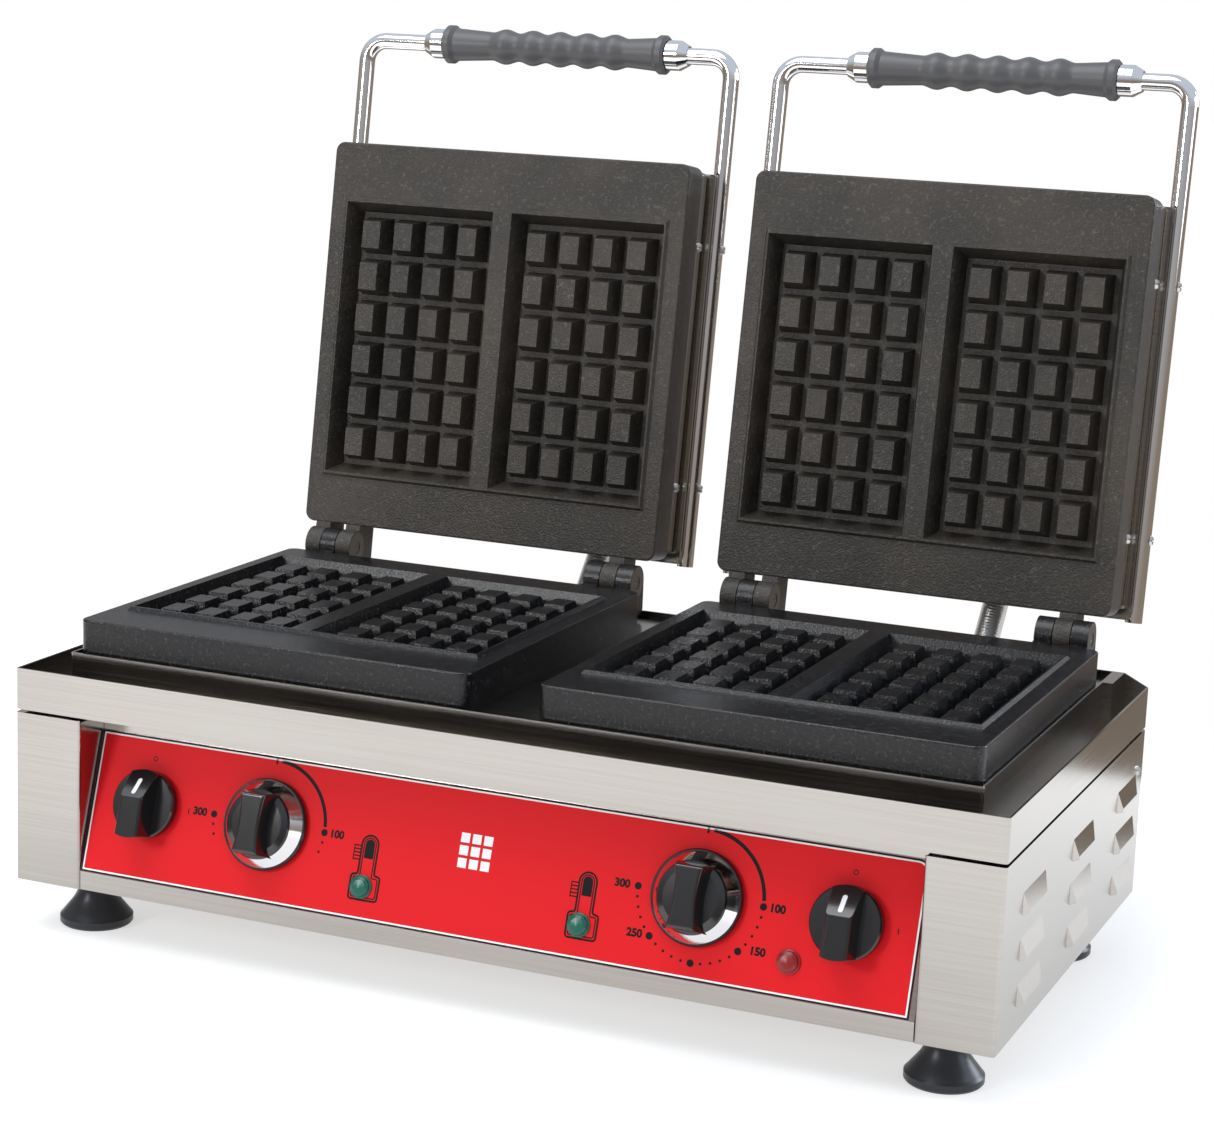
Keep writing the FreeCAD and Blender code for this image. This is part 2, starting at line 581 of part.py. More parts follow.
def front_panel():
    """Folded sheet: short upright lip, leaning control panel, upright top edge."""
    y, t = PANEL_FOOT.y, PANEL_T / math.cos(math.radians(PANEL_LEAN))
    outer = [(y, FOOT_H), (y, PANEL_FOOT.z), (PANEL_TOP_Y, PANEL_TOP_Z), (PANEL_TOP_Y, BODY_TOP)]
    inner = [(a + t, b) for a, b in reversed(outer)]
    return prism_x(outer + inner, -PANEL_X, PANEL_X).cut(panel_holes(0.0))


FILM_LEFT, FILM_RIGHT, FILM_TOP = -PANEL_X + 0.3, PANEL_X - 3.0, PANEL_H - 0.6


def panel_film():
    """Red front film on the leaning panel, with one rounded corner."""
    film = block(FILM_LEFT, FILM_RIGHT, 0.4, FILM_TOP, 0, FILM_T)
    film = film.makeFillet(6.0, edges_along(film, AXIS_Z, lambda mid: mid.x > 0 and mid.y > 9))
    return on_panel(film).cut(panel_holes(0.3))


def rear_panel():
    """Back sheet between the side returns with vent slots and the cable gland's hole."""
    y0, y1 = REAR_Y - 2 * SHEET - 0.1, REAR_Y - SHEET - 0.1
    half = HALF_W - SHEET - 1.2
    sheet = block(-half, half, y0, y1, FOOT_H + SHEET + 0.1, BODY_TOP - SHEET - 0.1)
    cuts = [rod(GLAND_R + 0.1, 10, V(GLAND_X, y0 - 5, GLAND_Z), AXIS_Y)]
    for i in range(12):
        for z in (84.0, 100.0):
            x = -150.0 + i * 24.0
            cuts.append(block(x - 8, x + 8, y0 - 1, y1 + 1, z, z + 4))
    for x, z in REAR_SCREWS:
        cuts.append(rod(SCREW_R, 10, V(x, y0 - 5, z), AXIS_Y))
    return sheet.cut(Part.makeCompound(cuts))


GLAND_R = 8.0
REAR_SCREWS = [(way * (HALF_W - 30.0), z) for way in (-1, 1) for z in (46.0, 110.0)]


def cable_gland():
    """Gland with a hexagonal cap outside and a lock nut inside the rear panel."""
    y = REAR_Y - SHEET - 0.1
    body = rod(GLAND_R, 26, V(GLAND_X, y - 10, GLAND_Z), AXIS_Y)
    for start, length, radius in ((y, 7.0, 12.0), (y - SHEET - 5.0, 5.0, 11.5)):
        corners = [V(GLAND_X + radius * math.cos(math.radians(60 * i)), start,
                     GLAND_Z + radius * math.sin(math.radians(60 * i))) for i in range(7)]
        body = body.fuse(Part.Face(Part.makePolygon(corners)).extrude(V(0, length, 0)))
    crown = Part.makeCone(10.0, 8.4, 7.0, V(GLAND_X, y + 7.0, GLAND_Z), AXIS_Y)
    return body.fuse(crown).cut(rod(GLAND_BORE, 40, V(GLAND_X, y - 15, GLAND_Z), AXIS_Y))


FEET = {"front_left": (-FOOT_X, FRONT_Y + FOOT_FRONT), "front_right": (FOOT_X, FRONT_Y + FOOT_FRONT),
        "rear_left": (-FOOT_X, REAR_Y - FOOT_BACK), "rear_right": (FOOT_X, REAR_Y - FOOT_BACK)}
FOOT_SCREW_R = 2.5


def bottom_plate():
    """Underside with turned-up sides, foot holes and rows of air slots."""
    x, y0, y1 = HALF_W - SHEET, FRONT_Y + 3.2, REAR_Y - SHEET - 1.0
    plate = block(-x, x, y0, y1, FOOT_H, FOOT_H + SHEET)
    for way in (-1, 1):
        a, b = sorted((way * x, way * (x - SHEET)))
        plate = plate.fuse(block(a, b, FRONT_Y + WEB_DEPTH + 2, REAR_Y - 8, FOOT_H, FOOT_H + 10))
    cuts = [rod(FOOT_SCREW_R + 0.2, 10, V(fx, fy, FOOT_H - 5)) for fx, fy in FEET.values()]
    for i in range(9):
        for j in range(3):
            cx, cy = -160.0 + i * 40.0, FRONT_Y + 80.0 + j * 60.0
            cuts.append(block(cx - 13, cx + 13, cy - 2, cy + 2, FOOT_H - 1, FOOT_H + 2))
    return plate.cut(Part.makeCompound(cuts))


def foot():
    """Flared rubber foot with a rolled rim and a recess for its screw."""
    flare = [V(r, 0, z) for r, z in ((19.4, 5.8), (15.3, 11.0), (11.9, 16.0), (10.0, 21.0), (9.4, FOOT_H))]
    curve = Part.BSplineCurve()
    curve.interpolate(flare)
    outline = [(FOOT_SCREW_R + 0.2, FOOT_H), (FOOT_SCREW_R + 0.2, 14.0), (6.0, 14.0), (6.0, 4.0), (15.0, 0.0)]
    outline += [(FOOT_R - 1.0, 0.0), (FOOT_R, 1.2), (FOOT_R, 4.6)]
    lower = Part.makePolygon([flare[-1]] + [V(r, 0, z) for r, z in outline] + [flare[0]])
    face = Part.Face(Part.Wire(Part.__sortEdges__(lower.Edges + [curve.toShape()])))
    return face.revolve(V(0, 0, 0), AXIS_Z, 360)


def foot_screw():
    """Pan head screw from below with its nut on the bottom plate."""
    shank = rod(FOOT_SCREW_R, 23.0, V(0, 0, 13.0))
    head = rod(4.6, 3.0, V(0, 0, 11.0))
    head = head.makeFillet(1.0, [e for e in head.Edges if e.BoundBox.ZMax < 11.01])
    corners = [V(4.6 * math.cos(math.radians(60 * i)), 4.6 * math.sin(math.radians(60 * i)), FOOT_H + SHEET)
               for i in range(7)]
    nut = Part.Face(Part.makePolygon(corners)).extrude(V(0, 0, 4))
    return shank.fuse([head, nut])


SIDE = side_panel()
save("side_panel_right", SIDE)
save("side_panel_left", mirrored(SIDE))
save("front_panel", front_panel())
save("panel_film", panel_film())
save("rear_panel", rear_panel())
save("bottom_plate", bottom_plate())
save("cable_gland", cable_gland())
for corner, (foot_x, foot_y) in FEET.items():
    save("foot_" + corner, moved(foot(), foot_x, foot_y))
save("foot_screws", *[moved(foot_screw(), fx, fy) for fx, fy in FEET.values()])

body_screws = [side_screw(way * HALF_W, SIDE_SCREW[0], SIDE_SCREW[1], 4) for way in (-1, 1)]
for screw_x, screw_z in REAR_SCREWS:
    flat = turned(side_screw(0.001, 0, 0, 4), 90, V(0, 0, 0), AXIS_Z)
    body_screws.append(moved(flat, screw_x, REAR_Y - SHEET - 0.1, screw_z))
save("body_screws", *body_screws)


def terminal_block():
    """Ceramic block on the bottom plate with three wire holes and three screw wells."""
    x, y, z = GLAND_X - 50, REAR_Y - 60, FOOT_H + SHEET
    body = block(x - 25, x + 25, y - 11, y + 11, z, z + 18)
    body = body.makeFillet(1.5, edges_along(body, AXIS_Z))
    for i in (-1, 0, 1):
        body = body.cut(rod(2.6, 30, V(x + i * 15, y - 15, z + 8), AXIS_Y))
        body = body.cut(rod(3.0, 8, V(x + i * 15, y, z + 11)))
    return body


save("terminal_block", terminal_block())


# ---- controls ------------------------------------------------------------------
THERMOSTAT_R, SWITCH_R, KNOB_LIFT = 25.0, 19.0, 1.0
RING_OUT, RING_IN, RING_LOW, RING_HIGH = 23.6, 19.2, 4.4, 10.4
RING_T, RING_GAP = 0.8, 8.0
STEM = rod(STEM_R, 16.0, V(0, 0, KNOB_LIFT - 14.0))


def waisted(length, end_w, waist_w, z):
    """Closed outline along Y at height z with straight ends and hollow sides."""
    half = length / 2
    edges = []
    for way in (-1, 1):
        start, end = V(way * end_w / 2, -half, z), V(way * end_w / 2, half, z)
        edges.append(Part.Arc(start, V(way * waist_w / 2, 0, z), end).toShape())
    edges += [Part.LineSegment(V(-end_w / 2, y, z), V(end_w / 2, y, z)).toShape() for y in (-half, half)]
    return Part.Wire(Part.__sortEdges__(edges))


def cone_band(low_r, high_r, low, high, thickness):
    """Conical band of even thickness measured along the radius."""
    return lathe([(low_r - thickness, low), (low_r, low), (high_r, high), (high_r - thickness, high)])


def thermostat_knob():
    """Round knob: low skirt, cone with a seat for the bright band, shallow dome and a finger bar."""
    rim = [(0, KNOB_LIFT), (24.4, KNOB_LIFT), (THERMOSTAT_R, 1.8), (THERMOSTAT_R, 3.4), (24.4, RING_LOW)]
    dome = [(RING_OUT, RING_LOW), (RING_IN, RING_HIGH), (18.4, 11.6), (15.0, 12.6), (0, 13.0)]
    skirt = lathe(rim + dome)
    seat = cone_band(RING_OUT, RING_IN, RING_LOW, RING_HIGH, RING_T).cut(ring_notch())
    bar = Part.makeLoft([waisted(35.0, 21.0, 17.0, 9.0), waisted(32.0, 15.0, 12.0, 22.0)], True)
    bar = bar.makeFillet(1.6, [e for e in bar.Edges if e.BoundBox.ZMin > 21.9])
    return skirt.fuse([bar, STEM]).cut(seat)


def ring_notch():
    """Block at 12 o'clock where the bright band is missing; it marks the pointer."""
    half = RING_OUT * math.tan(math.radians(RING_GAP))
    return block(-half, half, 0, THERMOSTAT_R, RING_LOW - 1, RING_HIGH + 1)


def knob_ring():
    """Bright conical band with a gap that marks the pointer."""
    return cone_band(RING_OUT, RING_IN, RING_LOW, RING_HIGH, RING_T).cut(ring_notch())


def switch_knob():
    """Round switch knob with a bar as wide as the disc and a sloping pointer facet."""
    disc = [(0, KNOB_LIFT), (18.4, KNOB_LIFT), (SWITCH_R, 1.8), (SWITCH_R, 6.0), (18.2, 6.9), (0, 7.2)]
    skirt = lathe(disc)
    bar = Part.makeLoft([waisted(44.0, 17.0, 16.0, 6.0), waisted(44.0, 14.5, 13.5, 20.0)], True)
    bar = bar.makeFillet(1.8, [e for e in bar.Edges if e.BoundBox.ZMin > 19.9])
    bar = bar.common(rod(SWITCH_R - 0.1, 30, V(0, 0, 0)))
    facet = prism_x([(3.0, 20.2), (25.0, 3.6), (25.0, 20.2)], -12, 12)
    return skirt.fuse([bar.cut(facet), STEM])


def control_body(width, height, depth):
    """Housing behind the panel with a bearing for the knob's stem and two terminals."""
    top = -PANEL_T - 0.1
    body = block(-width / 2, width / 2, -height / 2, height / 2, top - depth, top)
    body = body.makeFillet(2.0, edges_along(body, AXIS_Z))
    body = body.cut(rod(STEM_R + STEM_FIT, 18.0, V(0, 0, top - 14.0)))
    tabs = [block(x - 3, x + 3, -0.4, 0.4, top - depth - 8, top - depth) for x in (-9.0, 9.0)]
    return body.fuse(tabs)


def pilot_lamp():
    """Lens with a flat flange in front of the panel and its barrel behind."""
    return lathe([(0, -16.0), (LAMP_R, -16.0), (LAMP_R, FILM_T), (6.4, FILM_T), (6.4, 1.1), (5.5, 1.5),
                  (5.2, 2.6), (3.6, 3.6), (0, 4.0)])


def at_panel(shape, x, t):
    """Place a control drawn about its own axis on the panel."""
    return on_panel(moved(shape, x, t))


for unit, thermostat_x, switch_x, green_x in zip(UNIT_X, THERMOSTAT_X, SWITCH_X, GREEN_X):
    save("thermostat_knob_" + unit, at_panel(thermostat_knob(), thermostat_x, KNOB_T))
    save("knob_ring_" + unit, at_panel(knob_ring(), thermostat_x, KNOB_T))
    save("switch_knob_" + unit, at_panel(switch_knob(), switch_x, KNOB_T))
    bulb = unit_place(rod(3.0, 70.0, V(0, -50.0, -3.2), AXIS_Y), unit, DECK_TOP)
    save("thermostat_body_" + unit, at_panel(control_body(38, 42, 26), thermostat_x, KNOB_T), bulb)
    save("pilot_lamp_" + unit, at_panel(pilot_lamp(), green_x, LAMP_T))
save("switch_bodies", *[at_panel(control_body(30, 30, 34), x, KNOB_T) for x in SWITCH_X])
save("power_lamp", at_panel(pilot_lamp(), RED_X, LAMP_T))
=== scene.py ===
# %% [markdown]
# # A double waffle maker
# Two pairs of cast iron plates stand open on a stainless base.  The CAD model gives every
# hard piece its shape and place.  This file gives the pieces their finishes and adds what
# CAD leaves out: the printed front film, the pointers, the wound conduits and the machined
# hinge faces.

# %% Load the frame
import json
import math

import bpy
import numpy as np
from mathutils import Matrix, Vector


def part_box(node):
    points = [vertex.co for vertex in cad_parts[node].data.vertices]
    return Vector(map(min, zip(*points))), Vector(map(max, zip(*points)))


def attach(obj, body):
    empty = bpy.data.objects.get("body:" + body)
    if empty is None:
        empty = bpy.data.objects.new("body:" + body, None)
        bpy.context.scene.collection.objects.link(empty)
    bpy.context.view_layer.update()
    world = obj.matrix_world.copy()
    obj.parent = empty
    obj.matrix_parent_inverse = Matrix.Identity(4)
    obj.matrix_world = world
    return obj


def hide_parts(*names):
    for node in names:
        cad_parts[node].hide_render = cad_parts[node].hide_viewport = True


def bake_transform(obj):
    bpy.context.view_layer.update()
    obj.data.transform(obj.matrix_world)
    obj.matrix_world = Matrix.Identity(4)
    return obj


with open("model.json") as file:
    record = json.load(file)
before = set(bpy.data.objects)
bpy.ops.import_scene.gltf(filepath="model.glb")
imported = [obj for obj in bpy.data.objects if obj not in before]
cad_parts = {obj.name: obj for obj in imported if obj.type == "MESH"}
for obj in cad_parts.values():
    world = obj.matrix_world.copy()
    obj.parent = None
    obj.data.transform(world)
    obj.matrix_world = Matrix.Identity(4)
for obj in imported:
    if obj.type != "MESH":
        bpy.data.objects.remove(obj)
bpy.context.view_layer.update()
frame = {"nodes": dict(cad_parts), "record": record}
nodes = frame["nodes"]
joints = {joint["name"]: joint for joint in frame["record"]["behaviour"]["joints"]}
MM = 0.001
SIDES = ("left", "right")

# %% [markdown]
# A surface here is a grid of points: rows run one way, columns the other, and each square
# of four neighbours becomes a face.  A closed form, such as a tube, joins its last column
# to its first.  Writing that rule once keeps every later shape down to its formula.


# %% Surfaces from grids
def grid_faces(rows, columns, wrap_rows=False, wrap_columns=False):
    """Four corner numbers for each square of a grid; a wrapped side joins its end to its start."""
    i, j = np.meshgrid(
        np.arange(rows if wrap_rows else rows - 1),
        np.arange(columns if wrap_columns else columns - 1),
        indexing="ij",
    )
    i2, j2 = (i + 1) % rows, (j + 1) % columns
    quads = np.stack((i * columns + j, i * columns + j2, i2 * columns + j2, i2 * columns + j), axis=-1)
    return quads.reshape(-1, 4)


def piece(name, points, faces, material, body, smooth=True):
    """One mesh object with its place in its mesh, one finish and the body that it rides on."""
    mesh = bpy.data.meshes.new(name)
    mesh.from_pydata(np.asarray(points).reshape(-1, 3).tolist(), [], [list(face) for face in faces])
    mesh.polygons.foreach_set("use_smooth", np.full(len(mesh.polygons), smooth))
    mesh.materials.append(material)
    made = bpy.data.objects.new(name, mesh)
    bpy.context.scene.collection.objects.link(made)
    if body:
        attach(made, body)
    return made


# %% [markdown]
# Every finish starts from the Principled shader.  The numbers that stay the same all over
# go straight on its sockets.  Grain, grit and stains change over the surface, so they come
# from two small shader groups that are built once and shared.


# %% Finishes: the tools
def finish(name, color, roughness, metallic=0.0, **sockets):
    """A Principled material with constants on its own sockets."""
    material = bpy.data.materials.new(name)
    material.use_nodes = True
    shader = material.node_tree.nodes["Principled BSDF"]
    shader.inputs["Base Color"].default_value = (*color, 1.0)
    shader.inputs["Roughness"].default_value = roughness
    shader.inputs["Metallic"].default_value = metallic
    for socket, value in sockets.items():
        shader.inputs[socket.replace("_", " ")].default_value = value
    return material


def new_group(name, inputs, outputs):
    """An empty shader group with named inputs and outputs and its two end nodes."""
    group = bpy.data.node_groups.new(name, "ShaderNodeTree")
    for socket, kind, value in inputs:
        made = group.interface.new_socket(socket, in_out="INPUT", socket_type="NodeSocket" + kind)
        if value is not None:
            made.default_value = value
    for socket, kind in outputs:
        group.interface.new_socket(socket, in_out="OUTPUT", socket_type="NodeSocket" + kind)
    return group, group.nodes.new("NodeGroupInput"), group.nodes.new("NodeGroupOutput")


def feed(tree, socket, value):
    """Give an input a link from another node's socket, or else a plain value."""
    if isinstance(value, bpy.types.NodeSocket):
        tree.links.new(value, socket)
    else:
        socket.default_value = value


def math_node(tree, operation, *values):
    """A Math node fed by sockets or plain numbers."""
    node = tree.nodes.new("ShaderNodeMath")
    node.operation = operation
    for socket, value in zip(node.inputs, values):
        feed(tree, socket, value)
    return node.outputs[0]


def noise(tree, vector, scale, detail=2.0, roughness=0.5):
    """Value of a noise texture at a vector."""
    node = tree.nodes.new("ShaderNodeTexNoise")
    settings = {"Vector": vector, "Scale": scale, "Detail": detail, "Roughness": roughness}
    for name, value in settings.items():
        feed(tree, node.inputs[name], value)
    return node.outputs["Fac"]


def remap(tree, value, low, high, to_low, to_high):
    """A Map Range node: values from low to high become values from to_low to to_high."""
    node = tree.nodes.new("ShaderNodeMapRange")
    for socket, number in zip(node.inputs[:5], (value, low, high, to_low, to_high)):
        feed(tree, socket, number)
    return node.outputs["Result"]


# %% [markdown]
# Brushed steel is sheet drawn under a belt: fine scratches run level along it.  Noise that
# is squeezed many times more across than along draws such lines.  On a flat top the lines
# also run level, so the squeezed direction is the depth there, and the surface's own normal
# says which of the two it is.

# %% Brushed grain
ALONG_SCALE, STREAK_SHARE = 7.0, 0.7
NOISE_LOW, NOISE_HIGH = 0.35, 0.65
brushed, source, sink = new_group(
    "brushed grain",
    [("Position", "Vector", None), ("Normal", "Vector", None), ("Rough low", "Float", 0.25),
     ("Rough high", "Float", 0.4), ("Lines per metre", "Float", 900.0)],
    [("Roughness", "Float"), ("Tint", "Float")],
)
place = brushed.nodes.new("ShaderNodeSeparateXYZ")
facing = brushed.nodes.new("ShaderNodeSeparateXYZ")
brushed.links.new(source.outputs["Position"], place.inputs[0])
brushed.links.new(source.outputs["Normal"], facing.inputs[0])
lines = source.outputs["Lines per metre"]
flat = math_node(brushed, "ABSOLUTE", facing.outputs["Z"])
across = math_node(brushed, "MULTIPLY", place.outputs["Z"], lines)
deep = math_node(brushed, "MULTIPLY", math_node(brushed, "MULTIPLY", place.outputs["Y"], lines), flat)
squeezed = brushed.nodes.new("ShaderNodeCombineXYZ")
inward = math_node(brushed, "MULTIPLY", place.outputs["Y"], ALONG_SCALE)
feed(brushed, squeezed.inputs["X"], math_node(brushed, "MULTIPLY", place.outputs["X"], ALONG_SCALE))
feed(brushed, squeezed.inputs["Y"], math_node(brushed, "ADD", inward, deep))
feed(brushed, squeezed.inputs["Z"], across)
streaks = noise(brushed, squeezed.outputs[0], 1.0, 3.0, 0.6)
clouds = noise(brushed, source.outputs["Position"], 9.0, 2.0, 0.5)
mixed = math_node(
    brushed, "ADD",
    math_node(brushed, "MULTIPLY", streaks, STREAK_SHARE),
    math_node(brushed, "MULTIPLY", clouds, 1 - STREAK_SHARE),
)
rough = remap(
    brushed, mixed, NOISE_LOW, NOISE_HIGH, source.outputs["Rough low"], source.outputs["Rough high"]
)
feed(brushed, sink.inputs["Roughness"], rough)
feed(brushed, sink.inputs["Tint"], mixed)
print("brushed grain", len(brushed.nodes), "nodes")

# %% [markdown]
# Cast iron keeps the sand's texture: fine grit all over, darker and browner clouds where oil
# has baked on.  Two noises of very different size, one for the bumps and one for the colour,
# give both.

# %% Cast grit
grit, source, sink = new_group(
    "cast grit",
    [("Position", "Vector", None), ("Grit", "Float", 900.0), ("Stain", "Float", 14.0)],
    [("Height", "Float"), ("Speckle", "Float"), ("Cloud", "Float")],
)
SPECK_SCALE, SPECK_LOW, SPECK_HIGH = 420.0, 0.55, 0.75
fine = noise(grit, source.outputs["Position"], source.outputs["Grit"], 2.0, 0.6)
speck = noise(grit, source.outputs["Position"], SPECK_SCALE, 3.0, 0.7)
cloud = noise(grit, source.outputs["Position"], source.outputs["Stain"], 4.0, 0.6)
feed(grit, sink.inputs["Height"], fine)
feed(grit, sink.inputs["Speckle"], remap(grit, speck, SPECK_LOW, SPECK_HIGH, 0.0, 1.0))
feed(grit, sink.inputs["Cloud"], remap(grit, cloud, NOISE_LOW, NOISE_HIGH, 0.0, 1.0))
print("cast grit", len(grit.nodes), "nodes")


# %% Finishes: using the groups
def placed(material, group, **values):
    """A shader group in a material, fed with Object coordinates."""
    tree = material.node_tree
    node = tree.nodes.new("ShaderNodeGroup")
    node.node_tree = group
    where = tree.nodes.new("ShaderNodeTexCoord")
    tree.links.new(where.outputs["Object"], node.inputs["Position"])
    if "Normal" in node.inputs:
        tree.links.new(where.outputs["Normal"], node.inputs["Normal"])
    for socket, value in values.items():
        node.inputs[socket.replace("_", " ")].default_value = value
    return node


def blend_color(tree, factor, low, high):
    """A Mix node between two colours, or between a colour and a socket."""
    node = tree.nodes.new("ShaderNodeMix")
    node.data_type = "RGBA"
    tree.links.new(factor, node.inputs["Factor"])
    for name, value in (("A", low), ("B", high)):
        linked = isinstance(value, bpy.types.NodeSocket)
        feed(tree, node.inputs[name], value if linked else (*value, 1.0))
    return node.outputs["Result"]


def bumped(material, height, strength, distance):
    """Feed a height into the shader's normal."""
    tree = material.node_tree
    bump = tree.nodes.new("ShaderNodeBump")
    bump.inputs["Strength"].default_value = strength
    bump.inputs["Distance"].default_value = distance
    tree.links.new(height, bump.inputs["Height"])
    tree.links.new(bump.outputs["Normal"], tree.nodes["Principled BSDF"].inputs["Normal"])


def brushed_steel(name, dark, light, low, high):
    """Brushed sheet between two greys with roughness between two values."""
    material = finish(name, light, high, metallic=1.0)
    tree = material.node_tree
    grain = placed(material, brushed, Rough_low=low, Rough_high=high)
    shader = tree.nodes["Principled BSDF"]
    tint = remap(tree, grain.outputs["Tint"], NOISE_LOW, NOISE_HIGH, 0.0, 1.0)
    tree.links.new(blend_color(tree, tint, dark, light), shader.inputs["Base Color"])
    tree.links.new(grain.outputs["Roughness"], shader.inputs["Roughness"])
    return material


SPECKLE_SHARE, GRIT_HEIGHT = 0.5, 0.0006


def cast_iron(name, black, brown, speckle, roughness, relief):
    """Cast iron between two darks with light specks and a given strength of grit."""
    material = finish(name, black, roughness, Specular_IOR_Level=0.4)
    tree = material.node_tree
    grain = placed(material, grit)
    stained = blend_color(tree, grain.outputs["Cloud"], black, brown)
    share = math_node(tree, "MULTIPLY", grain.outputs["Speckle"], SPECKLE_SHARE)
    dotted = blend_color(tree, share, stained, speckle)
    tree.links.new(dotted, tree.nodes["Principled BSDF"].inputs["Base Color"])
    bumped(material, grain.outputs["Height"], relief, GRIT_HEIGHT)
    return material


# %% The finishes
STAINLESS = brushed_steel(
    "brushed stainless sheet", (0.37, 0.345, 0.315), (0.42, 0.395, 0.365), low=0.15, high=0.23
)
# The plates are one cast iron in two copies.  The lower copy is painted darker, and its bluish specks are a
# painted cool sheen on the upward faces.  The upper copy is painted lighter and browner, which is painted
# light on the lids' forward faces.
LOWER_IRON_PAINTED_SHADE_AND_SHEEN = cast_iron(
    "lower iron with painted shade and sheen", (0.004, 0.004, 0.005), (0.009, 0.008, 0.008), (0.10, 0.11, 0.13),
    roughness=0.27, relief=0.3,
)
UPPER_IRON_PAINTED_LIGHTER = cast_iron(
    "upper iron painted lighter", (0.024, 0.021, 0.018), (0.046, 0.038, 0.030), (0.17, 0.16, 0.14),
    roughness=0.38, relief=0.8,
)
STEEL = finish("plain steel", (0.52, 0.51, 0.49), 0.35, metallic=1.0)
CHROME = finish("polished chrome", (0.80, 0.80, 0.81), 0.08, metallic=1.0)
MACHINED = finish("machined iron", (0.16, 0.155, 0.15), 0.38, metallic=0.8)
RUBBER = finish("black rubber", (0.012, 0.013, 0.017), 0.35)
GRIP = finish("grey moulded grip", (0.085, 0.085, 0.088), 0.42)
KNOB = finish("black moulded knob", (0.008, 0.008, 0.009), 0.16, Coat_Weight=0.4, Coat_Roughness=0.08)
RED_FILM = finish("red printed film", (0.70, 0.008, 0.013), 0.5, Specular_IOR_Level=0.15)
WHITE_PRINT = finish("white print", (0.85, 0.85, 0.85), 0.4)
BLACK_PRINT = finish("black print", (0.004, 0.004, 0.004), 0.5, Specular_IOR_Level=0.15)
GREEN_LENS = finish("green lens", (0.0, 0.105, 0.068), 0.3)
RED_LENS = finish("red lens", (0.24, 0.006, 0.008), 0.3)
BOARD = finish("dark insulation board", (0.03, 0.028, 0.026), 0.8)
CERAMIC = finish("plain ceramic", (0.75, 0.72, 0.66), 0.5)
BLACK_PLASTIC = finish("black plastic", (0.02, 0.02, 0.02), 0.45)
FINISH_OF_SLOT = {
    "cast_iron": LOWER_IRON_PAINTED_SHADE_AND_SHEEN, "plain_steel": STEEL, "stainless": STAINLESS, "film": RED_FILM,
    "rubber": RUBBER, "black_plastic": BLACK_PLASTIC, "green_lens": GREEN_LENS, "red_lens": RED_LENS,
    "ceramic": CERAMIC, "insulation": BOARD, "chrome": CHROME, "grip": GRIP, "knob": KNOB,
}
for part in frame["record"]["subparts"]:
    shown = nodes[part["node"]]
    shown.data.materials.clear()
    shown.data.materials.append(FINISH_OF_SLOT[part["material_slot"]])
# The upper plates take the lighter copy of the iron, which has painted light.
for side in SIDES:
    nodes["upper_plate_" + side].data.materials[0] = UPPER_IRON_PAINTED_LIGHTER
nodes["hinge_pins"].data.materials[0] = MACHINED
print(len(nodes), "CAD nodes with", len(FINISH_OF_SLOT), "finishes")

# %% [markdown]
# The front film leans with the panel.  The knob joints stand square on it, so a joint's
# place and axis give the whole plane: out of the panel, up along it, and level.  All prints
# are drawn in that plane in millimetres, with zero at the knobs' height.

# %% The panel's own plane
knob_joint = joints["thermostat_turn_left"]
PANEL_OUT = -np.array(knob_joint["axis"])
PANEL_UP = np.cross(PANEL_OUT, (1.0, 0.0, 0.0))
PANEL_ZERO = np.array((0.0, knob_joint["pos_m"][1], knob_joint["pos_m"][2]))
FILM_T, PRINT_LIFT = 0.3, 0.04
film_low, film_high = (np.array(corner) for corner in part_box("panel_film"))
FILM_LEFT, FILM_RIGHT = film_low[0] / MM, film_high[0] / MM
FILM_DOWN, FILM_TOP, FILM_CORNER = -42.1, 37.1, 6.0
knob_x = {name: joint["pos_m"][0] / MM for name, joint in joints.items() if "turn" in name}


def on_panel(x, up, lift=FILM_T + PRINT_LIFT):
    """Points at x along, up from the knobs' height and lifted off the panel, all in mm."""
    x, up = np.broadcast_arrays(np.asarray(x, float), np.asarray(up, float))
    level = x[..., None] * np.array((1.0, 0.0, 0.0))
    return PANEL_ZERO + MM * (level + up[..., None] * PANEL_UP + lift * PANEL_OUT)


print("film", round(FILM_LEFT, 1), round(FILM_RIGHT, 1), "normal", PANEL_OUT.round(3))

# %% [markdown]
# Prints are flat patches.  A patch is a grid as well: an arc is a band between two radii, a
# dot is a disc whose inner radius is zero, and a frame line runs between two outlines with
# one inset from the other.  Patches that share an ink are joined in one mesh.


# %% Patches of print
def band(x, up, inner, outer, first, last, steps=24):
    """Ring sector: radius from inner to outer, clock angle in degrees from first to last."""
    angle = np.radians(np.linspace(first, last, steps + 1))
    radius = np.array((inner, outer))[:, None]
    return x + radius * np.sin(angle), up + radius * np.cos(angle)


def dot(x, up, radius):
    """Full disc as a ring sector that starts at its middle."""
    return band(x, up, 0.0, radius, 0.0, 360.0, 20)


def bar(x0, x1, up0, up1):
    """Upright rectangle."""
    return np.array(((x0, x1), (x0, x1))), np.array(((up1, up1), (up0, up0)))


def ribbon(x, up, width):
    """Line of even width: each point of the path moved half the width to both sides, square to the path."""
    along = np.gradient(np.stack((x, up)), axis=1)
    along /= np.linalg.norm(along, axis=0)
    aside = np.stack((-along[1], along[0])) * width / 2
    return np.stack((x + aside[0], x - aside[0])), np.stack((up + aside[1], up - aside[1]))


